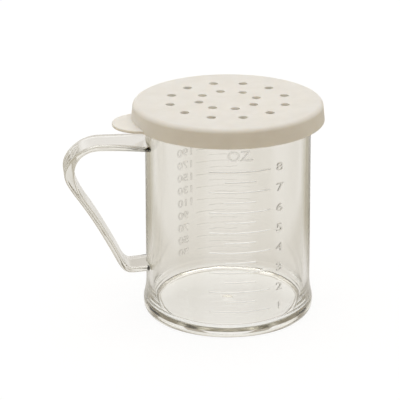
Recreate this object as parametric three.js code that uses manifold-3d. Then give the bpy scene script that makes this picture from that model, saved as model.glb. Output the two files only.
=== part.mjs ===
// Spice shaker: a clear moulded measuring cup with a strap handle, and a press-on lid with holes.
// Millimetres, +Z up. The origin is the middle of the footprint box, on the plane the foot stands on.
// The handle points along -X, and the ounce scale faces -Y.

import * as THREE from "three";
import { mergeVertices } from "three/addons/utils/BufferGeometryUtils.js";
import Module from "manifold-3d";

const wasm = await Module();
wasm.setup();

// Cup wall. The outside narrows a little from the foot up, and the bore opens a little for the core.
const cupHeight = 90.0;
const wallRadiusLow = 35.2;
const wallDraft = 0.6;
const wallThicknessLow = 2.4;
const wallThicknessHigh = 1.6;

// Foot: it flares out below the wall, and stands on a ring round a recess. The gate that the plastic
// was fed through leaves a dimple in the middle of the recess.
const flareHeight = 14.0;
const footFlare = 1.3;
const footWaistHeight = 4.4;
const footEdgeRound = 1.0;
const footRingWidth = 5.5;
const recessDepth = 1.0;
const recessChamfer = 0.8;
const floorThickness = 1.5;
const floorFillet = 2.2;
const dimpleRadius = 3.2;
const dimpleDepth = 0.5;

// Rim flange, which the lid snaps over.
const rimOverhang = 3.0;
const rimDepth = 2.2;
const rimCoveHeight = 1.6;
const rimRound = 0.5;

// Measuring marks, raised on the outside of the wall. One fluid ounce fills 8.72 mm of this bore.
const ouncePitch = 8.72;
const millilitresInOunce = 29.57;
const markRaise = 0.25;
const markLineWidth = 0.45;
const ounceCount = 8;
const firstTenMillilitres = 3;
const lastTenMillilitres = 24;
const markHeadroom = 1.0;
const longMarkDegrees = 42;
const shortMarkDegrees = 21;
const ounceFacingDegrees = -90;
const millilitreFacingDegrees = 90;

// Handle strap, seen from its side. Each edge is a chain of cubic curves: a start, then two control
// points and an end for each curve. The shares follow the reach from the wall and the strap's height.
const handleReach = 33.8;
const handleFootRise = 4.85;
const handleTopDrop = 13.0;
const handleWidthHigh = 15.4;
const handleWidthLow = 12.2;
const handleFlareHigh = 2.4;
const handleFlareLow = 0.8;
const handleFlareReach = 19.0;
const handleEdgeRound = 0.8;
const thinnestHeightShare = 0.047;
const mostEdgeRoundShare = 0.3;
const handleRootLength = 1.2;
const outerEdgeShares = [
  [-0.120, 0.974],
  [0.142, 0.990], [0.379, 1.000], [0.556, 1.000],
  [0.772, 1.000], [1.000, 0.893], [1.000, 0.780],
  [1.000, 0.711], [0.873, 0.617], [0.763, 0.513],
  [0.645, 0.402], [0.541, 0.285], [0.447, 0.173],
  [0.352, 0.061], [0.320, 0.000], [0.195, 0.000],
  [0.127, 0.000], [0.024, 0.008], [-0.120, 0.016],
];
const innerEdgeShares = [
  [-0.120, 0.056],
  [0.053, 0.050], [0.127, 0.047], [0.189, 0.047],
  [0.260, 0.047], [0.287, 0.078], [0.325, 0.125],
  [0.411, 0.236], [0.607, 0.455], [0.728, 0.560],
  [0.822, 0.647], [0.870, 0.718], [0.870, 0.797],
  [0.870, 0.880], [0.751, 0.953], [0.571, 0.953],
  [0.379, 0.953], [0.142, 0.943], [-0.120, 0.941],
];

// Lid: a flat top, a round shoulder and a drafted skirt with a snap bead inside.
const lidThickness = 1.7;
const lidDepth = 8.0;
const skirtThickness = 1.4;
const skirtDraft = 0.85;
const shoulderRound = 1.9;
const skirtEdgeRound = 0.35;
const rimClearance = 0.4;
const beadDrop = 0.7;
const beadHalfHeight = 1.0;
const snapClearance = 0.2;

// Thumb tab on the skirt's lower edge, and the shaking holes, which are set out from the tab.
const tabRadius = 12.2;
const tabReach = 8.55;
const tabThickness = 1.3;
const tabRise = 0.2;
const lidTurnDegrees = 6;
const holeRadius = 1.9;
const outerRingInset = 8.6;
const outerHoleCount = 12;
const ringSpacing = 12.1;
const innerHoleCount = 8;

// How finely round shapes are cut, and how far a cutter runs past what it cuts.
const turnSteps = 64;
const roundSteps = 3;
const bevelSteps = 2;
const flareSteps = 6;
const shoulderSteps = 6;
const holeSteps = 20;
const curveSamples = 7;
const tabSteps = 48;
const markStepDegrees = 7;
const overrun = 2.0;

const fullTurn = Math.PI * 2;
const quarterTurn = Math.PI / 2;
const radians = THREE.MathUtils.degToRad;

// Places that follow from the sizes above.
const wallRadiusHigh = wallRadiusLow - wallDraft;
const boreRadiusLow = wallRadiusLow - wallThicknessLow;
const boreRadiusHigh = wallRadiusHigh - wallThicknessHigh;
const midWallRadius = (wallRadiusHigh + boreRadiusHigh) / 2;
const floorHeight = recessDepth + floorThickness;
const footRadius = wallRadiusLow + footFlare;
const rimRadius = wallRadiusHigh + rimOverhang;
const rimFootHeight = cupHeight - rimDepth;
const coveFootHeight = rimFootHeight - rimCoveHeight;
const tenMillilitrePitch = ouncePitch * 10 / millilitresInOunce;
const handleFootHeight = flareHeight + handleFootRise;
const handleTopHeight = cupHeight - handleTopDrop;
const handleHeight = handleTopHeight - handleFootHeight;
const handleTip = wallRadiusLow + handleReach;
const lidTopHeight = cupHeight + lidThickness;
const shoulderFootHeight = lidTopHeight - shoulderRound;
const skirtFootHeight = lidTopHeight - lidDepth;
const skirtRadiusHigh = rimRadius + rimClearance + skirtThickness;
const skirtRadiusLow = skirtRadiusHigh + skirtDraft;
const outerHoleRing = boreRadiusHigh - outerRingInset;
const innerHoleRing = outerHoleRing - ringSpacing;
const axisPlace = (handleTip - skirtRadiusLow) / 2;

// A closed geometry becomes a solid once its seam vertices are shared and its flat triangles dropped.
function solidFrom(geometry) {
  const bare = geometry.clone();
  bare.deleteAttribute("normal");
  bare.deleteAttribute("uv");
  const merged = mergeVertices(bare);
  const corners = merged.index.array;
  const kept = [];
  for (let i = 0; i < corners.length; i += 3) {
    const [a, b, c] = [corners[i], corners[i + 1], corners[i + 2]];
    if (a !== b && b !== c && c !== a) kept.push(a, b, c);
  }
  const vertProperties = new Float32Array(merged.attributes.position.array);
  return new wasm.Manifold(new wasm.Mesh({ numProp: 3, vertProperties, triVerts: new Uint32Array(kept) }));
}

function geometryFrom(solid) {
  const mesh = solid.getMesh();
  const geometry = new THREE.BufferGeometry();
  geometry.setAttribute("position", new THREE.BufferAttribute(new Float32Array(mesh.vertProperties), 3));
  geometry.setIndex(new THREE.BufferAttribute(new Uint32Array(mesh.triVerts), 1));
  const flat = geometry.toNonIndexed();
  flat.computeVertexNormals();
  return flat;
}

// A turned solid about +Z, from [radius, height] pairs that run anticlockwise round the section.
function turned(profile) {
  const points = profile.map(([radius, height]) => new THREE.Vector2(radius, height));
  return solidFrom(new THREE.LatheGeometry(points, turnSteps).rotateX(quarterTurn));
}

// An extruded plan outline that stands on a height.
function standing(shape, height, depth, steps) {
  const extrusion = new THREE.ExtrudeGeometry(shape, { depth, bevelEnabled: false, curveSegments: steps });
  return solidFrom(extrusion.translate(0, 0, height));
}

// Points of an arc round a centre, from one angle to another, both ends included.
function arc(centreRadius, centreHeight, radius, fromDegrees, toDegrees, steps = roundSteps) {
  return Array.from({ length: steps + 1 }, (_, i) => {
    const angle = radians(THREE.MathUtils.lerp(fromDegrees, toDegrees, i / steps));
    return [centreRadius + radius * Math.cos(angle), centreHeight + radius * Math.sin(angle)];
  });
}

function wallRadiusAt(height) {
  const share = (height - flareHeight) / (rimFootHeight - flareHeight);
  return THREE.MathUtils.lerp(wallRadiusLow, wallRadiusHigh, share);
}

// The foot flares ever faster towards its widest place, in one hollow curve.
function flareProfile() {
  return Array.from({ length: flareSteps }, (_, i) => {
    const share = i / flareSteps;
    const height = THREE.MathUtils.lerp(footWaistHeight, flareHeight, share);
    return [THREE.MathUtils.lerp(wallRadiusLow, footRadius, (1 - share) ** 2), height];
  });
}

function cupShell() {
  const footEdge = footRadius - footEdgeRound * 1.5;
  const footRingInside = footRadius - footRingWidth;
  return turned([
    [0, recessDepth + dimpleDepth],
    [dimpleRadius / 2, recessDepth + dimpleDepth * 0.75],
    [dimpleRadius, recessDepth],
    [footRingInside - recessChamfer, recessDepth],
    [footRingInside, 0],
    ...arc(footEdge, footEdgeRound, footEdgeRound, -90, 0),
    ...flareProfile(),
    [wallRadiusLow, flareHeight],
    [wallRadiusAt(coveFootHeight), coveFootHeight],
    [wallRadiusHigh + rimOverhang / 3, rimFootHeight - rimCoveHeight / 3],
    [rimRadius - rimRound, rimFootHeight],
    [rimRadius, rimFootHeight + rimRound],
    ...arc(rimRadius - rimRound, cupHeight - rimRound, rimRound, 0, 90),
    ...arc(boreRadiusHigh + rimRound, cupHeight - rimRound, rimRound, 90, 180),
    ...arc(boreRadiusLow - floorFillet, floorHeight + floorFillet, floorFillet, 0, -90),
    [0, floorHeight],
  ]);
}

// One raised line on the wall, bent round it, with its middle on a height.
function markLine(height, facingDegrees, spanDegrees) {
  const outside = wallRadiusAt(height) + markRaise;
  const start = radians(facingDegrees - spanDegrees / 2);
  const end = radians(facingDegrees + spanDegrees / 2);
  const shape = new THREE.Shape();
  shape.absarc(0, 0, outside, start, end, false);
  shape.absarc(0, 0, midWallRadius, end, start, true);
  const steps = Math.ceil(spanDegrees / markStepDegrees);
  return standing(shape, height - markLineWidth / 2, markLineWidth, steps);
}

// Every line of a scale that has room below the rim, long on the whole numbers and short between.
function scaleLines(places, facingDegrees) {
  const room = places.filter(({ height }) => height < coveFootHeight - markHeadroom);
  return room.map(({ height, whole }) => {
    return markLine(height, facingDegrees, whole ? longMarkDegrees : shortMarkDegrees);
  });
}

function ounceLines() {
  const places = Array.from({ length: ounceCount * 2 }, (_, i) => {
    return { height: floorHeight + (i + 1) * ouncePitch / 2, whole: i % 2 === 1 };
  });
  return scaleLines(places, ounceFacingDegrees);
}

function millilitreLines() {
  const places = [];
  for (let ten = firstTenMillilitres; ten <= lastTenMillilitres; ten += 1) {
    places.push({ height: floorHeight + ten * tenMillilitrePitch, whole: ten % 2 === 1 });
  }
  return scaleLines(places, millilitreFacingDegrees);
}

// The points of one edge of the strap, seen from its side.
function edgePoints(shares) {
  const places = shares.map(([reachShare, heightShare]) => new THREE.Vector2(
    wallRadiusLow + reachShare * handleReach,
    handleFootHeight + heightShare * handleHeight,
  ));
  const chain = new THREE.CurvePath();
  for (let i = 0; i + 3 < places.length; i += 3) {
    chain.add(new THREE.CubicBezierCurve(places[i], places[i + 1], places[i + 2], places[i + 3]));
  }
  return chain.getPoints(curveSamples);
}

// The strap narrows towards its foot, and flares where it runs into the wall.
function strapWidthAt(reach, height) {
  const rise = (height - handleFootHeight) / handleHeight;
  const width = THREE.MathUtils.lerp(handleWidthLow, handleWidthHigh, rise);
  const nearness = THREE.MathUtils.clamp(1 - (reach - wallRadiusLow) / handleFlareReach, 0, 1);
  return width + 2 * THREE.MathUtils.lerp(handleFlareLow, handleFlareHigh, rise) * nearness ** 2;
}

// The whole strap, from inside the cup's wall out: extruded at full width, then drawn to its widths.
// Its edges are rounded, by no more than a share of the strap where it is thinnest.
function strap() {
  const halfWidth = handleWidthHigh / 2;
  const edgeRound = Math.min(handleEdgeRound, mostEdgeRoundShare * thinnestHeightShare * handleHeight);
  const outline = new THREE.Shape([...edgePoints(outerEdgeShares), ...edgePoints(innerEdgeShares)]);
  const geometry = new THREE.ExtrudeGeometry(outline, {
    depth: handleWidthHigh - 2 * edgeRound,
    bevelThickness: edgeRound,
    bevelSize: edgeRound,
    bevelOffset: -edgeRound,
    bevelSegments: bevelSteps,
  });
  geometry.translate(0, 0, edgeRound - halfWidth);
  const position = geometry.attributes.position;
  for (let i = 0; i < position.count; i += 1) {
    const reach = position.getX(i);
    const height = position.getY(i);
    const across = position.getZ(i) * strapWidthAt(reach, height) / handleWidthHigh;
    position.setXYZ(i, -reach, across, height);
  }
  return solidFrom(geometry);
}

// Everything further out than the plane where the strap leaves the cup's own roots.
function beyondRoots() {
  const from = wallRadiusLow + handleRootLength;
  const to = handleTip + overrun;
  const across = handleWidthHigh + 2 * handleFlareHigh + overrun;
  const box = new THREE.BoxGeometry(to - from, across, cupHeight);
  return solidFrom(box.translate(-(from + to) / 2, 0, cupHeight / 2));
}

// The strap's roots belong to the cup, and end inside its wall.
function roots() {
  const inside = new THREE.CylinderGeometry(midWallRadius, midWallRadius, cupHeight, turnSteps);
  inside.rotateX(quarterTurn).translate(0, 0, cupHeight / 2);
  return strap().subtract(beyondRoots()).subtract(solidFrom(inside));
}

function cup() {
  const lines = [...ounceLines(), ...millilitreLines()];
  return lines.reduce((body, line) => body.add(line), cupShell().add(roots()));
}

function handle() {
  return strap().intersect(beyondRoots());
}

// The inside of the skirt follows its outside, at the skirt's thickness.
function skirtInsideAt(height) {
  const share = (height - skirtFootHeight) / (shoulderFootHeight - skirtFootHeight);
  return THREE.MathUtils.lerp(skirtRadiusLow, skirtRadiusHigh, share) - skirtThickness;
}

function lidShell() {
  const beadHeight = rimFootHeight - beadDrop;
  const beadHead = beadHeight + beadHalfHeight;
  const beadFoot = beadHeight - beadHalfHeight;
  return turned([
    [0, cupHeight],
    [skirtInsideAt(cupHeight) - rimRound, cupHeight],
    [skirtInsideAt(cupHeight - rimRound), cupHeight - rimRound],
    [skirtInsideAt(beadHead), beadHead],
    [rimRadius + snapClearance, beadHeight],
    [skirtInsideAt(beadFoot), beadFoot],
    [skirtInsideAt(skirtFootHeight), skirtFootHeight],
    ...arc(skirtRadiusLow - skirtEdgeRound, skirtFootHeight + skirtEdgeRound, skirtEdgeRound, -90, 0),
    ...arc(skirtRadiusHigh - shoulderRound, shoulderFootHeight, shoulderRound, 0, 90, shoulderSteps),
    [0, lidTopHeight],
  ]);
}

// The tab is part of a disc that stands out from the skirt's edge; the skirt's inside stays open.
function tab() {
  const shape = new THREE.Shape();
  shape.absarc(tabRadius - tabReach - skirtRadiusLow, 0, tabRadius, 0, fullTurn, false);
  const disc = standing(shape, skirtFootHeight + tabRise, tabThickness, tabSteps);
  const insideRadius = skirtRadiusLow - skirtThickness / 2;
  const inside = new THREE.CylinderGeometry(insideRadius, insideRadius, lidDepth * 2, turnSteps);
  return disc.subtract(solidFrom(inside.rotateX(quarterTurn).translate(0, 0, skirtFootHeight)));
}

function holeCutter(ring, angleDegrees) {
  const angle = radians(angleDegrees);
  const drill = new THREE.CylinderGeometry(holeRadius, holeRadius, lidThickness + overrun * 2, holeSteps);
  drill.rotateX(quarterTurn);
  const height = cupHeight + lidThickness / 2;
  return solidFrom(drill.translate(ring * Math.cos(angle), ring * Math.sin(angle), height));
}

function ringOfHoles(ring, count) {
  return Array.from({ length: count }, (_, i) => holeCutter(ring, 180 + lidTurnDegrees + i * 360 / count));
}

function lid() {
  const blank = lidShell().add(tab().rotate([0, 0, lidTurnDegrees]));
  const cutters = [
    ...ringOfHoles(outerHoleRing, outerHoleCount),
    ...ringOfHoles(innerHoleRing, innerHoleCount),
  ];
  return cutters.reduce((body, cutter) => body.subtract(cutter), blank);
}

function piece(name, solid, color, roughness) {
  const material = new THREE.MeshStandardMaterial({ color, roughness, metalness: 0 });
  const mesh = new THREE.Mesh(geometryFrom(solid), material);
  mesh.name = name;
  return mesh;
}

const polycarbonateColour = 0xe4e2da;
const polypropyleneColour = 0xe6e3dc;

const shaker = new THREE.Group();
shaker.position.x = axisPlace;
shaker.add(piece("cup", cup(), polycarbonateColour, 0.05));
shaker.add(piece("handle", handle(), polycarbonateColour, 0.05));
shaker.add(piece("lid", lid(), polypropyleneColour, 0.42));

export default shaker;
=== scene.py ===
# A clear measuring shaker with a strap handle and a press-on lid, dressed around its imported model.
# Metres, +Z up. The handle points along -X, and the fluid ounce scale faces -Y.

from math import atan, cos, pi, radians, sin

import bmesh
import bpy
from mathutils import Matrix, Vector
from mathutils.geometry import interpolate_bezier


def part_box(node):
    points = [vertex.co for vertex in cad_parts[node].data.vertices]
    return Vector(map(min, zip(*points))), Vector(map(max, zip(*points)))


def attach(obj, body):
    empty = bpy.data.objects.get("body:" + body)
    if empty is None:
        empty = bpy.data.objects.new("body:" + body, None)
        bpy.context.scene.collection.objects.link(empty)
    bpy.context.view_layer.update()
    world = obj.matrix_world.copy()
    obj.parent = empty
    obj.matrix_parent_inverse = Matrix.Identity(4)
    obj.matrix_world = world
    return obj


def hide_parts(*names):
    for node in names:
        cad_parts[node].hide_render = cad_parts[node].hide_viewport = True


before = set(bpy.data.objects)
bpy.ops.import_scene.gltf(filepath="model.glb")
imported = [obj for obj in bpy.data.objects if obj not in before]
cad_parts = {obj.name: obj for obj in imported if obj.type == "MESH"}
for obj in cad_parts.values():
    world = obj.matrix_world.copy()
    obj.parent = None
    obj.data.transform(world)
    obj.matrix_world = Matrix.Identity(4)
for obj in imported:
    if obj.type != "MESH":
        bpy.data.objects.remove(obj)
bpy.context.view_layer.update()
mm = 0.001

# Camera. It stands in front of the cup, a little to the handle's side, and looks down on the lid.
# It aims to the left of the cup, as the photograph does, so that the handle has room.
cup_low, cup_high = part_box("cup")
rim_radius = (cup_high.y - cup_low.y) / 2
cup_axis = Vector((cup_high.x - rim_radius, 0, 0))
cup_middle = cup_axis + Vector((0, 0, cup_high.z / 2))
picture_width = 400
focal_length_pixels = 1528.4
cup_middle_column = 227.8
cup_middle_row = 205.0
camera_distance = 650 * mm
camera_azimuth = radians(-8.5)
camera_elevation = radians(21.14)


def towards(azimuth, elevation):
    """The direction from the object to a place at that azimuth, from -Y towards +X, and elevation."""
    level = cos(elevation)
    return Vector((sin(azimuth) * level, -cos(azimuth) * level, sin(elevation)))


camera_data = bpy.data.cameras.new("camera")
camera_data.lens = camera_data.sensor_width * focal_length_pixels / picture_width
camera = bpy.data.objects.new("camera", camera_data)
bpy.context.scene.collection.objects.link(camera)
outward = towards(camera_azimuth, camera_elevation)
facing = (-outward).to_track_quat("-Z", "Y").to_matrix()
pan = Matrix.Rotation(atan((cup_middle_column - picture_width / 2) / focal_length_pixels), 3, "Y")
tilt = Matrix.Rotation(atan((cup_middle_row - picture_width / 2) / focal_length_pixels), 3, "X")
station = Matrix.Translation(cup_middle + outward * camera_distance)
camera.matrix_world = station @ (facing @ pan @ tilt).to_4x4()
bpy.context.scene.camera = camera

# Light goes round many times inside the clear wall before it leaves, so it is followed for longer.
bpy.context.scene.cycles.max_bounces = 40
bpy.context.scene.cycles.transmission_bounces = 32
bpy.context.scene.cycles.glossy_bounces = 32

# Studio. A white table under soft light from above, as in a light tent. To the camera the table is
# plain white with a faint shadow. To the clear plastic it glows with painted shade: bright under
# the cup, a painted shadow close round it, paler farther out, and darker in its four far corners.
table_half_width = 3.0
table_gap = 0.2 * mm
table_white = "FFFFFF"
table_strength = 1.05
table_matte = "F6F3EE"
table_shadow_share = 0.15
table_thrown_back = "DCD2BE"
# As the clear plastic sees the table: painted shade, with a painted shadow round the cup's foot.
table_under_cup = "FCFCFC"
table_painted_shadow_near_foot = "E5E2DE"
table_painted_shade_farther = "EFEDEA"
table_painted_corner_shade = "BFB9AA"
table_bright_reach = 36 * mm
table_bright_fade = 5 * mm
table_plain_reach = 110 * mm
corner_shade_from = 0.36
corner_shade_to = 0.48


def linear(hex_colour):
    """An sRGB hex colour as linear red, green, blue and alpha."""
    shares = [int(hex_colour[i:i + 2], 16) / 255 for i in (0, 2, 4)]
    return [s / 12.92 if s <= 0.04045 else ((s + 0.055) / 1.055) ** 2.4 for s in shares] + [1.0]


def add_node(tree, kind, inputs, **settings):
    """Adds a node with its settings; an input is a value, or another node's output to link."""
    made = tree.nodes.new(kind)
    for name, value in settings.items():
        setattr(made, name, value)
    for name, value in inputs.items():
        if isinstance(value, bpy.types.NodeSocket):
            tree.links.new(value, made.inputs[name])
        else:
            made.inputs[name].default_value = value
    return made.outputs


def new_object(name, bm):
    """A mesh object at the origin from a bmesh, which is freed."""
    mesh = bpy.data.meshes.new(name)
    bm.to_mesh(mesh)
    bm.free()
    made = bpy.data.objects.new(name, mesh)
    bpy.context.scene.collection.objects.link(made)
    return made


def new_material(name):
    """A material with an empty node tree."""
    made = bpy.data.materials.new(name)
    made.use_nodes = True
    made.node_tree.nodes.clear()
    return made


# The table is a matte white board. The camera sees it nearly without shadow, the clear plastic sees
# its painted shade and painted shadow, and the lid gets a warm light back from it.
table_material = new_material("white_table")
tree = table_material.node_tree
rays = add_node(tree, "ShaderNodeLightPath", {})
place = add_node(tree, "ShaderNodeTexCoord", {})
from_cup = add_node(tree, "ShaderNodeVectorMath", {0: place["Object"], 1: cup_axis},
                    operation="DISTANCE")
past_foot = add_node(tree, "ShaderNodeMapRange", {
    "Value": from_cup["Value"], "From Min": table_bright_reach,
    "From Max": table_bright_reach + table_bright_fade})
farther = add_node(tree, "ShaderNodeMapRange", {
    "Value": from_cup["Value"], "From Min": table_bright_reach + table_bright_fade,
    "From Max": table_plain_reach})
beyond = add_node(tree, "ShaderNodeMix", {
    0: farther[0], 6: linear(table_painted_shadow_near_foot), 7: linear(table_painted_shade_farther)}, data_type="RGBA")
way_out = add_node(tree, "ShaderNodeVectorMath", {0: place["Object"], 1: cup_axis},
                   operation="SUBTRACT")
way = add_node(tree, "ShaderNodeVectorMath", {0: way_out[0]}, operation="NORMALIZE")
ahead = add_node(tree, "ShaderNodeVectorMath", {0: way[0], 1: towards(camera_azimuth, 0)},
                 operation="DOT_PRODUCT")
aside = add_node(tree, "ShaderNodeVectorMath", {0: way[0], 1: towards(camera_azimuth + pi / 2, 0)},
                 operation="DOT_PRODUCT")
diagonal = add_node(tree, "ShaderNodeMath", {0: ahead["Value"], 1: aside["Value"]},
                    operation="MULTIPLY")
cornerwise = add_node(tree, "ShaderNodeMath", {0: diagonal[0]}, operation="ABSOLUTE")
in_corner = add_node(tree, "ShaderNodeMapRange", {
    "Value": cornerwise[0], "From Min": corner_shade_from, "From Max": corner_shade_to},
    interpolation_type="SMOOTHSTEP")
corner_shade_share = add_node(tree, "ShaderNodeMath", {0: in_corner[0], 1: farther[0]},
                        operation="MULTIPLY")
painted_shade_round_foot = add_node(tree, "ShaderNodeMix", {
    0: corner_shade_share[0], 6: beyond[2], 7: linear(table_painted_corner_shade)}, data_type="RGBA")
through_cup = add_node(tree, "ShaderNodeMix", {
    0: past_foot[0], 6: linear(table_under_cup), 7: painted_shade_round_foot[2]}, data_type="RGBA")
# The clear plastic sees this glow, with its painted shade and painted shadow, in place of the lit
# table.
painted_table_shade = add_node(tree, "ShaderNodeEmission", {"Color": through_cup[2], "Strength": 1.0})
bright = add_node(tree, "ShaderNodeEmission", {
    "Color": linear(table_white), "Strength": table_strength})
matte = add_node(tree, "ShaderNodeBsdfDiffuse", {"Color": linear(table_matte)})
shadowed = add_node(tree, "ShaderNodeMixShader", {0: table_shadow_share, 1: bright[0], 2: matte[0]})
thrown_back = add_node(tree, "ShaderNodeBsdfDiffuse", {"Color": linear(table_thrown_back)})
to_glass = add_node(tree, "ShaderNodeMath", {
    0: rays["Is Glossy Ray"], 1: rays["Is Transmission Ray"]}, operation="MAXIMUM")
lit = add_node(tree, "ShaderNodeMixShader", {0: to_glass[0], 1: thrown_back[0], 2: painted_table_shade[0]})
seen = add_node(tree, "ShaderNodeMixShader", {0: rays["Is Camera Ray"], 1: lit[0], 2: shadowed[0]})
add_node(tree, "ShaderNodeOutputMaterial", {"Surface": seen[0]})

bm = bmesh.new()
bmesh.ops.create_grid(bm, x_segments=1, y_segments=1, size=table_half_width)
bmesh.ops.translate(bm, vec=(0, 0, -table_gap), verts=bm.verts)
table = new_object("table", bm)
table.data.materials.append(table_material)

# The room as the plastic sees it: warm and dark in front, a pale backdrop behind that darkens over its
# top, and bright overhead. To the camera it is white.
room_in_front = "7A6A50"
room_in_front_in_glass = "85785F"
room_behind = "FDFBF8"
room_over_backdrop = "A8A093"
room_overhead = "FBFBFC"
overhead_strength = 1.5
overhead_in_glass = 1.9
backdrop_side_from = -0.6
backdrop_side_to = 0.5
backdrop_top_from = 0.22
backdrop_top_to = 0.45
overhead_from = 0.5
overhead_to = 0.85
world = bpy.data.worlds.new("room")
bpy.context.scene.world = world
world.use_nodes = True
tree = world.node_tree
tree.nodes.clear()
rays = add_node(tree, "ShaderNodeLightPath", {})
place = add_node(tree, "ShaderNodeTexCoord", {})
heading = add_node(tree, "ShaderNodeSeparateXYZ", {"Vector": place["Generated"]})
behind = add_node(tree, "ShaderNodeMapRange", {
    "Value": heading["Y"], "From Min": backdrop_side_from, "From Max": backdrop_side_to},
    interpolation_type="SMOOTHSTEP")
higher = add_node(tree, "ShaderNodeMapRange", {
    "Value": heading["Z"], "From Min": backdrop_top_from, "From Max": backdrop_top_to},
    interpolation_type="SMOOTHSTEP")
above = add_node(tree, "ShaderNodeMapRange", {
    "Value": heading["Z"], "From Min": overhead_from, "From Max": overhead_to},
    interpolation_type="SMOOTHSTEP")
to_glass = add_node(tree, "ShaderNodeMath", {
    0: rays["Is Glossy Ray"], 1: rays["Is Transmission Ray"]}, operation="MAXIMUM")
backdrop = add_node(tree, "ShaderNodeMix", {
    0: higher[0], 6: linear(room_behind), 7: linear(room_over_backdrop)}, data_type="RGBA")
front = add_node(tree, "ShaderNodeMix", {
    0: to_glass[0], 6: linear(room_in_front), 7: linear(room_in_front_in_glass)}, data_type="RGBA")
walls = add_node(tree, "ShaderNodeMix", {0: behind[0], 6: front[2], 7: backdrop[2]}, data_type="RGBA")
around = add_node(tree, "ShaderNodeBackground", {"Color": walls[2], "Strength": 1.0})
brightness = add_node(tree, "ShaderNodeMapRange", {
    "Value": to_glass[0], "To Min": overhead_strength, "To Max": overhead_in_glass})
overhead = add_node(tree, "ShaderNodeBackground", {
    "Color": linear(room_overhead), "Strength": brightness[0]})
room = add_node(tree, "ShaderNodeMixShader", {0: above[0], 1: around[0], 2: overhead[0]})
horizon = add_node(tree, "ShaderNodeBackground", {"Color": linear(table_white), "Strength": 1.0})
seen = add_node(tree, "ShaderNodeMixShader", {0: rays["Is Camera Ray"], 1: room[0], 2: horizon[0]})
add_node(tree, "ShaderNodeOutputWorld", {"Surface": seen[0]})


def soft_light(name, azimuth, elevation, distance, size, watts, colour):
    """A square lamp that looks at the cup's middle."""
    data = bpy.data.lights.new(name, "AREA")
    data.size = size
    data.energy = watts
    data.color = linear(colour)[:3]
    lamp = bpy.data.objects.new(name, data)
    bpy.context.scene.collection.objects.link(lamp)
    away = towards(radians(azimuth), radians(elevation))
    place = Matrix.Translation(cup_middle + away * distance)
    lamp.matrix_world = place @ (-away).to_track_quat("-Z", "Y").to_matrix().to_4x4()


soft_light("overhead", azimuth=170, elevation=84, distance=1.8, size=1.4, watts=0.5, colour="F6F9FF")

# Cup shell. It is injection moulded in clear polycarbonate: a wall that tapers for the mould, a floor
# over a standing ring, a hollow flare down to the foot, and a flange at the rim for the lid.
turn_steps = 384
cup_height = cup_high.z
wall_radius_low = 35.2 * mm
wall_radius_high = 34.6 * mm
bore_radius_low = 32.8 * mm
bore_radius_high = 33.0 * mm
mid_wall_radius = (bore_radius_high + wall_radius_high) / 2
flare_height = 14.0 * mm
foot_radius = 36.5 * mm
foot_waist_height = 4.4 * mm
foot_chamfer_width = 0.5 * mm
foot_chamfer_height = 1.5 * mm
foot_edge_round = 0.5 * mm
foot_ring_inside = 31.0 * mm
recess_depth = 1.0 * mm
recess_chamfer = 0.8 * mm
floor_height = 2.5 * mm
floor_fillet = 3.0 * mm
floor_fillet_steps = 10
dimple_radius = 4.0 * mm
dimple_shoulder_radius = 2.0 * mm
dimple_shoulder_depth = 0.45 * mm
dimple_depth = 0.57 * mm
gate_stub_radius = 0.52 * mm
gate_stub_length = 0.27 * mm
rim_depth = 2.2 * mm
rim_cove = 1.2 * mm
rim_round = 0.5 * mm
rim_foot_height = cup_height - rim_depth
flare_points = 10
edge_steps = 4
same_place = 0.001 * mm
same_edge = 0.01 * mm


def wall_radius_at(height):
    """The outside radius of the plain wall at a height."""
    share = (height - flare_height) / (rim_foot_height - flare_height)
    return wall_radius_low + (wall_radius_high - wall_radius_low) * share


def turned(points, steps):
    """A closed bmesh turned about the cup's axis from radius and height pairs."""
    bm = bmesh.new()
    verts = [bm.verts.new(cup_axis + Vector((radius, 0, height))) for radius, height in points]
    for one, other in zip(verts, verts[1:]):
        bm.edges.new((one, other))
    bmesh.ops.spin(bm, geom=bm.verts[:] + bm.edges[:], cent=cup_axis, axis=(0, 0, 1),
                   angle=2 * pi, steps=steps, use_merge=True)
    bmesh.ops.remove_doubles(bm, verts=bm.verts, dist=same_place)
    bmesh.ops.recalc_face_normals(bm, faces=bm.faces)
    return bm


def round_ring(bm, radius, height, width, segments=edge_steps):
    """Rounds the circular edge at that radius and height."""
    def on_ring(vert):
        place = vert.co - cup_axis
        return abs(place.xy.length - radius) < same_edge and abs(place.z - height) < same_edge
    ring = [edge for edge in bm.edges if all(on_ring(vert) for vert in edge.verts)]
    bmesh.ops.bevel(bm, geom=ring, offset=width, offset_type="OFFSET", segments=segments,
                    profile=0.5, affect="EDGES", material=-1, clamp_overlap=True)


def flare_at(share):
    """A point of the hollow flare, from the foot's waist up to where the plain wall starts."""
    height = foot_waist_height + (flare_height - foot_waist_height) * share
    return wall_radius_low + (foot_radius - wall_radius_low) * (1 - share) ** 2, height


# The profile starts under the floor's middle, at the stub that the mould's gate leaves in the dimple.
cup_profile = [
    (0, recess_depth + dimple_depth - gate_stub_length),
    (gate_stub_radius, recess_depth + dimple_depth),
    (dimple_shoulder_radius, recess_depth + dimple_shoulder_depth),
    (dimple_radius, recess_depth),
    (foot_ring_inside - recess_chamfer, recess_depth),
    (foot_ring_inside, 0),
    (foot_radius - foot_chamfer_width, 0),
    (foot_radius, foot_chamfer_height),
    *[flare_at(i / flare_points) for i in range(flare_points)],
    (wall_radius_low, flare_height),
    (wall_radius_at(rim_foot_height - rim_cove), rim_foot_height - rim_cove),
    (wall_radius_high + rim_cove, rim_foot_height),
    (rim_radius, rim_foot_height),
    (rim_radius, cup_height),
    (bore_radius_high, cup_height),
    (bore_radius_low, floor_height),
    (0, floor_height),
]
shell_bm = turned(cup_profile, turn_steps)
round_ring(shell_bm, bore_radius_low, floor_height, floor_fillet, floor_fillet_steps)
round_ring(shell_bm, rim_radius, cup_height, rim_round)
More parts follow.
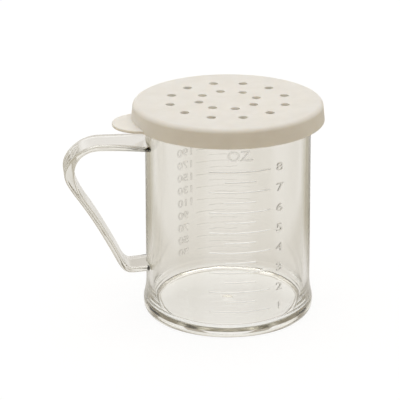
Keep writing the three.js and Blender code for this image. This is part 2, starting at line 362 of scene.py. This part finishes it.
round_ring(shell_bm, rim_radius, rim_foot_height, rim_round)
round_ring(shell_bm, bore_radius_high, cup_height, rim_round)
round_ring(shell_bm, foot_radius, foot_chamfer_height, foot_edge_round)
round_ring(shell_bm, foot_radius - foot_chamfer_width, 0, foot_edge_round)
cup = new_object("clear_cup", shell_bm)

# Strap handle. It is moulded with the cup, in the same shot: a flat strap with rounded edges, which
# narrows towards its foot and widens where each root runs into the wall.
handle_low, handle_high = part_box("handle")
handle_reach = cup_axis.x - handle_low.x - wall_radius_low
handle_height = handle_high.z - handle_low.z
handle_width_high = 15.4 * mm
handle_width_low = 12.2 * mm
handle_flare_high = 2.4 * mm
handle_flare_low = 0.8 * mm
handle_flare_reach = 19.0 * mm
handle_edge_round = 1.1 * mm
handle_edge_steps = 8
sharp_corner = radians(60)
curve_points = 24

# The strap's two edges as seen from its side, in shares of its reach from the wall and of its height.
# Both start and end inside the wall. Each line leads to the next point of the curve.
outer_edge_shares = [
    (-0.120, 0.974),
    (0.142, 0.990), (0.379, 1.000), (0.556, 1.000),
    (0.772, 1.000), (1.000, 0.893), (1.000, 0.780),
    (1.000, 0.711), (0.873, 0.617), (0.763, 0.513),
    (0.645, 0.402), (0.541, 0.285), (0.447, 0.173),
    (0.352, 0.061), (0.320, 0.000), (0.195, 0.000),
    (0.127, 0.000), (0.024, 0.008), (-0.120, 0.016),
]
inner_edge_shares = [
    (-0.120, 0.056),
    (0.053, 0.050), (0.127, 0.047), (0.189, 0.047),
    (0.260, 0.047), (0.287, 0.078), (0.325, 0.125),
    (0.411, 0.236), (0.607, 0.455), (0.728, 0.560),
    (0.822, 0.647), (0.870, 0.718), (0.870, 0.797),
    (0.870, 0.880), (0.751, 0.953), (0.571, 0.953),
    (0.379, 0.953), (0.142, 0.943), (-0.120, 0.941),
]


def edge_curve(shares):
    """The points of one edge of the strap, seen from its side."""
    knots = [Vector((cup_axis.x - wall_radius_low - reach * handle_reach, 0,
                     handle_low.z + height * handle_height)) for reach, height in shares]
    points = [knots[0]]
    for i in range(0, len(knots) - 1, 3):
        points += interpolate_bezier(*knots[i:i + 4], curve_points)[1:]
    return points


def strap_width_at(place):
    """The strap's width at a point of it, wider high up and near the wall."""
    rise = (place.z - handle_low.z) / handle_height
    reach = cup_axis.x - wall_radius_low - place.x
    nearness = min(max(1 - reach / handle_flare_reach, 0), 1)
    width = handle_width_low + (handle_width_high - handle_width_low) * rise
    flare = handle_flare_low + (handle_flare_high - handle_flare_low) * rise
    return width + 2 * flare * nearness ** 2


def cut(target, tool, operation):
    """Joins or cuts the target with the tool, which is used up."""
    modifier = target.modifiers.new("cut", "BOOLEAN")
    modifier.object = tool
    modifier.operation = operation
    modifier.solver = "MANIFOLD"
    done = target.evaluated_get(bpy.context.evaluated_depsgraph_get())
    mesh = bpy.data.meshes.new_from_object(done)
    target.modifiers.clear()
    target.data = mesh
    bpy.data.objects.remove(tool)


strap_bm = bmesh.new()
for shares in (outer_edge_shares, inner_edge_shares):
    verts = [strap_bm.verts.new(point) for point in edge_curve(shares)]
    for one, other in zip(verts, verts[1:]):
        strap_bm.edges.new((one, other))
side = bmesh.ops.bridge_loops(strap_bm, edges=strap_bm.edges[:])["faces"]
extruded = bmesh.ops.extrude_face_region(strap_bm, geom=side, use_keep_orig=True)
far_verts = [item for item in extruded["geom"] if isinstance(item, bmesh.types.BMVert)]
bmesh.ops.translate(strap_bm, vec=(0, handle_width_high, 0), verts=far_verts)
bmesh.ops.translate(strap_bm, vec=(0, -handle_width_high / 2, 0), verts=strap_bm.verts)
bmesh.ops.recalc_face_normals(strap_bm, faces=strap_bm.faces)
long_edges = [edge for edge in strap_bm.edges
              if edge.is_manifold and edge.calc_face_angle() > sharp_corner
              and abs(edge.verts[0].co.y - edge.verts[1].co.y) < same_edge]
bmesh.ops.bevel(strap_bm, geom=long_edges, offset=handle_edge_round, offset_type="OFFSET",
                segments=handle_edge_steps, profile=0.5, affect="EDGES", material=-1)
for vert in strap_bm.verts:
    vert.co.y *= strap_width_at(vert.co) / handle_width_high
strap = new_object("strap", strap_bm)
core_bm = bmesh.new()
bmesh.ops.create_cone(core_bm, cap_ends=True, segments=turn_steps, radius1=mid_wall_radius,
                      radius2=mid_wall_radius, depth=cup_height * 2,
                      matrix=Matrix.Translation(cup_axis))
cut(strap, new_object("core", core_bm), "DIFFERENCE")
cut(cup, strap, "UNION")

# Measuring marks. They are cut into the mould, so that they stand proud of the wall: fluid ounces in
# front and millilitres at the back, with their numbers beside the lines. The real lines are too fine
# to show, so these are drawn about twice as wide.
ounces = 8
ounce_pitch = 8.72 * mm
millilitres_per_ounce = 29.57
ten_millilitre_pitch = ounce_pitch * 10 / millilitres_per_ounce
first_ten = 3
last_ten = 24
line_raise = 0.32 * mm
back_line_raise = 0.16 * mm
line_width = 0.8 * mm
long_line = radians(42)
short_line = radians(21)
line_steps = 24
ridge_steps = 8
back_facing = radians(175.1)
words_raise = 0.32 * mm
words_bevel = 0.14 * mm
mark_sink = 0.5 * mm
digit_share_of_font = 0.73
digit_height = 3.4 * mm
digit_drop = 0.42
digit_facing = radians(28.4)
digit_stretch = 1.5
back_digits_end = radians(38.5)
back_digit_stretch = 1.35
label_height = 4.3 * mm
label_stretch = 1.1
label_base = 77.0 * mm


def raise_line(bm, height, facing, span, proud):
    """One raised line, turned round the wall from its small section, a ridge with soft sides."""
    outside = wall_radius_at(height)
    ridge = [(proud * (1 - cos(2 * pi * i / ridge_steps)) / 2, i / ridge_steps - 0.5)
             for i in range(ridge_steps + 1)]
    section = [(-mark_sink, -0.5), *ridge, (-mark_sink, 0.5)]
    start = facing - span / 2
    verts = []
    for rise, across in section:
        level = Vector((sin(start), -cos(start), 0)) * (outside + rise)
        verts.append(bm.verts.new(cup_axis + level + Vector((0, 0, height + across * line_width))))
    face = bm.faces.new(verts)
    bmesh.ops.spin(bm, geom=verts + face.edges[:] + [face], cent=cup_axis, axis=(0, 0, 1), angle=span,
                   steps=line_steps, use_merge=False)


def raise_words(bm, words, size, stretch, facing, base, align="CENTER"):
    """Raised letters or digits, bent round the wall, with their middle or right end at a facing."""
    curve = bpy.data.curves.new("words", "FONT")
    curve.body = words
    curve.size = size / digit_share_of_font
    curve.align_x = align
    curve.bevel_depth = words_bevel
    curve.bevel_resolution = 2
    curve.offset = -words_bevel / 2
    curve.extrude = (words_raise + mark_sink) / 2 - words_bevel
    curve.resolution_u = 5
    text = bpy.data.objects.new("words", curve)
    bpy.context.scene.collection.objects.link(text)
    done = text.evaluated_get(bpy.context.evaluated_depsgraph_get())
    mesh = bpy.data.meshes.new_from_object(done)
    old = len(bm.verts)
    bm.from_mesh(mesh)
    bm.verts.ensure_lookup_table()
    for vert in bm.verts[old:]:
        height = base + vert.co.y
        reach = wall_radius_at(height) + vert.co.z + (words_raise - mark_sink) / 2
        angle = facing + vert.co.x * stretch / wall_radius_at(height)
        vert.co = cup_axis + Vector((sin(angle) * reach, -cos(angle) * reach, height))
    bpy.data.objects.remove(text)


marks_bm = bmesh.new()
for half_ounce in range(1, 2 * ounces + 1):
    height = floor_height + half_ounce * ounce_pitch / 2
    whole = half_ounce % 2 == 0
    raise_line(marks_bm, height, 0, long_line if whole else short_line, line_raise)
    if whole:
        raise_words(marks_bm, str(half_ounce // 2), digit_height, digit_stretch, digit_facing,
                    height - digit_height * digit_drop)
for ten in range(first_ten, last_ten + 1):
    height = floor_height + ten * ten_millilitre_pitch
    odd = ten % 2 == 1
    raise_line(marks_bm, height, back_facing, long_line if odd else short_line, back_line_raise)
    if odd:
        raise_words(marks_bm, str(ten * 10), digit_height, back_digit_stretch,
                    back_facing + back_digits_end, height - digit_height * digit_drop, "RIGHT")
raise_words(marks_bm, "OZ.", label_height, label_stretch, 0, label_base)
raise_words(marks_bm, "ML.", label_height, label_stretch, back_facing, label_base)
bmesh.ops.remove_doubles(marks_bm, verts=marks_bm.verts, dist=same_place)
open_edges = [edge for edge in marks_bm.edges if edge.is_boundary]
bmesh.ops.holes_fill(marks_bm, edges=open_edges, sides=0)
bmesh.ops.recalc_face_normals(marks_bm, faces=marks_bm.faces)
cut(cup, new_object("marks", marks_bm), "UNION")

# The clear plastic is polycarbonate from a polished mould: hard, glassy and nearly water white, a
# little warm and grey through its own thickness, as at the walls and the foot. The marks were spark
# eroded into the mould, so their tops come out frosted.
frost_from = 0.12 * mm
frost_to = 0.2 * mm
frost_lowest = 10.8 * mm
frost_highest = 86 * mm
frost_half_width = 25 * mm
frost_roughness = 0.45
ripple_height = 0.4 * mm
clear_plastic = new_material("clear_polycarbonate")
tree = clear_plastic.node_tree
place = add_node(tree, "ShaderNodeTexCoord", {})
ripple = add_node(tree, "ShaderNodeTexNoise", {
    "Vector": place["Object"], "Scale": 55.0, "Detail": 2.0})
uneven = add_node(tree, "ShaderNodeBump", {
    "Height": ripple[0], "Strength": 0.015, "Distance": ripple_height})
handled = add_node(tree, "ShaderNodeTexNoise", {
    "Vector": place["Object"], "Scale": 220.0, "Detail": 5.0})
polish = add_node(tree, "ShaderNodeMapRange", {
    "Value": handled[0], "From Min": 0.35, "From Max": 0.75, "To Min": 0.01, "To Max": 0.03})

# The frost is on what stands proud of the plain wall, from over the flare to under the rim, and not
# on the handle.
from_axis = add_node(tree, "ShaderNodeVectorMath", {0: place["Object"], 1: cup_axis},
                     operation="SUBTRACT")
along = add_node(tree, "ShaderNodeSeparateXYZ", {"Vector": from_axis[0]})
flat = add_node(tree, "ShaderNodeCombineXYZ", {"X": along["X"], "Y": along["Y"]})
radius = add_node(tree, "ShaderNodeVectorMath", {0: flat[0]}, operation="LENGTH")
wall = add_node(tree, "ShaderNodeMapRange", {
    "Value": along["Z"], "From Min": flare_height, "From Max": rim_foot_height,
    "To Min": wall_radius_low, "To Max": wall_radius_high}, clamp=False)
proud = add_node(tree, "ShaderNodeMath", {0: radius["Value"], 1: wall[0]}, operation="SUBTRACT")
on_mark = add_node(tree, "ShaderNodeMapRange", {
    "Value": proud[0], "From Min": frost_from, "From Max": frost_to})
above_flare = add_node(tree, "ShaderNodeMath", {0: along["Z"], 1: frost_lowest},
                       operation="GREATER_THAN")
under_rim = add_node(tree, "ShaderNodeMath", {0: along["Z"], 1: frost_highest},
                     operation="LESS_THAN")
aside = add_node(tree, "ShaderNodeMath", {0: along["X"]}, operation="ABSOLUTE")
off_handle = add_node(tree, "ShaderNodeMath", {0: aside[0], 1: frost_half_width},
                      operation="LESS_THAN")
on_wall = add_node(tree, "ShaderNodeMath", {0: above_flare[0], 1: under_rim[0]},
                   operation="MULTIPLY")
on_scale = add_node(tree, "ShaderNodeMath", {0: on_wall[0], 1: off_handle[0]}, operation="MULTIPLY")
frosted = add_node(tree, "ShaderNodeMath", {0: on_scale[0], 1: on_mark[0]}, operation="MULTIPLY")
rough = add_node(tree, "ShaderNodeMix", {0: frosted[0], 2: polish[0], 3: frost_roughness})
surface = add_node(tree, "ShaderNodeBsdfPrincipled", {
    "Base Color": linear("FBFAF7"), "Roughness": rough[0], "IOR": 1.585,
    "Transmission Weight": 1.0, "Normal": uneven[0]})
depth = add_node(tree, "ShaderNodeVolumeAbsorption", {"Color": linear("C8C3AC"), "Density": 17.0})
add_node(tree, "ShaderNodeOutputMaterial", {"Surface": surface[0], "Volume": depth[0]})


sharp_past = radians(32)


def finish_piece(piece, material):
    """Gives a piece its material and smooth shading, with its sharp edges kept sharp.

    The wide flat faces set the shading beside small rounds, so that light goes straight through them.
    """
    piece.data.materials.clear()
    piece.data.materials.append(material)
    piece.data.polygons.foreach_set("use_smooth", [True] * len(piece.data.polygons))
    piece.data.set_sharp_from_angle(angle=sharp_past)
    shading = piece.modifiers.new("even_shading", "WEIGHTED_NORMAL")
    shading.keep_sharp = True


finish_piece(cup, clear_plastic)
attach(cup, "cup")
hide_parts("cup", "handle")

# Lid. It is injection moulded in off-white polypropylene: a flat top with a round shoulder, a drafted
# skirt with a bead inside that holds it on the rim, a thumb tab, and holes that are moulded through.
lid_low, lid_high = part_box("lid")
lid_radius = (lid_high.y - lid_low.y) / 2
lid_top = lid_high.z
lid_foot = lid_low.z
lid_thickness = lid_top - cup_height
skirt_radius_high = 39.4 * mm
skirt_thickness = 1.4 * mm
shoulder_round = 1.9 * mm
shoulder_steps = 8
skirt_edge_round = 0.35 * mm
bead_drop = 0.7 * mm
bead_height = rim_foot_height - bead_drop
bead_half_height = 1.0 * mm
bead_clearance = 0.2 * mm
tab_radius = 12.2 * mm
tab_centre = 36.6 * mm
tab_thickness = 1.3 * mm
tab_rise = 0.2 * mm
tab_round = 0.4 * mm
tab_steps = 96
tab_edge_steps = 3
lid_turn = radians(6)
hole_radius = 1.9 * mm
hole_steps = 40
hole_rings = [(24.4 * mm, 12), (12.3 * mm, 8)]
drill_overrun = 1 * mm


def skirt_inside_at(height):
    """The inside radius of the skirt at a height."""
    share = (height - lid_foot) / (lid_top - shoulder_round - lid_foot)
    return lid_radius + (skirt_radius_high - lid_radius) * share - skirt_thickness


lid_profile = [
    (0, cup_height),
    (skirt_inside_at(cup_height), cup_height),
    (skirt_inside_at(bead_height + bead_half_height), bead_height + bead_half_height),
    (rim_radius + bead_clearance, bead_height),
    (skirt_inside_at(bead_height - bead_half_height), bead_height - bead_half_height),
    (skirt_inside_at(lid_foot), lid_foot),
    (lid_radius, lid_foot),
    (skirt_radius_high, lid_top),
    (0, lid_top),
]
lid_bm = turned(lid_profile, turn_steps)
round_ring(lid_bm, skirt_radius_high, lid_top, shoulder_round, shoulder_steps)
round_ring(lid_bm, lid_radius, lid_foot, skirt_edge_round)
round_ring(lid_bm, skirt_inside_at(lid_foot), lid_foot, skirt_edge_round)
round_ring(lid_bm, skirt_inside_at(cup_height), cup_height, skirt_edge_round)
lid = new_object("holed_lid", lid_bm)


def around_lid(angle, radius, height):
    """The place at an angle from the tab's direction, a radius and a height."""
    turn = pi + lid_turn + angle
    return Matrix.Translation(cup_axis + Vector((cos(turn) * radius, sin(turn) * radius, height)))


tab_bm = bmesh.new()
tab_place = around_lid(0, tab_centre, lid_foot + tab_rise + tab_thickness / 2)
bmesh.ops.create_cone(tab_bm, cap_ends=True, segments=tab_steps, radius1=tab_radius,
                      radius2=tab_radius, depth=tab_thickness, matrix=tab_place)
tab_edges = [edge for edge in tab_bm.edges
             if abs(edge.verts[0].co.z - edge.verts[1].co.z) < same_edge]
bmesh.ops.bevel(tab_bm, geom=tab_edges, offset=tab_round, offset_type="OFFSET",
                segments=tab_edge_steps, profile=0.5, affect="EDGES", material=-1)
tab = new_object("tab", tab_bm)
well_bm = bmesh.new()
well_radius = lid_radius - skirt_thickness / 2
bmesh.ops.create_cone(well_bm, cap_ends=True, segments=turn_steps, radius1=well_radius,
                      radius2=well_radius, depth=lid_top,
                      matrix=Matrix.Translation(cup_axis + Vector((0, 0, lid_foot))))
cut(tab, new_object("well", well_bm), "DIFFERENCE")
cut(lid, tab, "UNION")

drills_bm = bmesh.new()
for ring_radius, count in hole_rings:
    for i in range(count):
        spot = around_lid(2 * pi * i / count, ring_radius, cup_height + lid_thickness / 2)
        bmesh.ops.create_cone(drills_bm, cap_ends=True, segments=hole_steps, radius1=hole_radius,
                              radius2=hole_radius, depth=lid_thickness + 2 * drill_overrun,
                              matrix=spot)
cut(lid, new_object("drills", drills_bm), "DIFFERENCE")

# The lid's plastic is polypropylene with a satin skin from a fine blasted mould: waxy, a little
# translucent, with a soft wide highlight and a faint unevenness of colour.
grain_height = 0.05 * mm
light_reach = 1.8 * mm
satin_plastic = new_material("moulded_polypropylene")
tree = satin_plastic.node_tree
place = add_node(tree, "ShaderNodeTexCoord", {})
cloud = add_node(tree, "ShaderNodeTexNoise", {
    "Vector": place["Object"], "Scale": 160.0, "Detail": 4.0})
tone = add_node(tree, "ShaderNodeMix", {
    0: cloud[0], 6: linear("E4E0D7"), 7: linear("F0EDE6")}, data_type="RGBA")
grain = add_node(tree, "ShaderNodeTexNoise", {
    "Vector": place["Object"], "Scale": 2600.0, "Detail": 3.0})
blasted = add_node(tree, "ShaderNodeBump", {
    "Height": grain[0], "Strength": 0.25, "Distance": grain_height})
skin = add_node(tree, "ShaderNodeMapRange", {"Value": grain[0], "To Min": 0.38, "To Max": 0.52})
surface = add_node(tree, "ShaderNodeBsdfPrincipled", {
    "Base Color": tone[2], "Roughness": skin[0], "IOR": 1.49, "Normal": blasted[0],
    "Subsurface Weight": 0.7, "Subsurface Radius": (1.0, 0.92, 0.8),
    "Subsurface Scale": light_reach})
add_node(tree, "ShaderNodeOutputMaterial", {"Surface": surface[0]})
finish_piece(lid, satin_plastic)
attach(lid, "lid")
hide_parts("lid")

bpy.context.scene.view_settings.view_transform = "Standard"
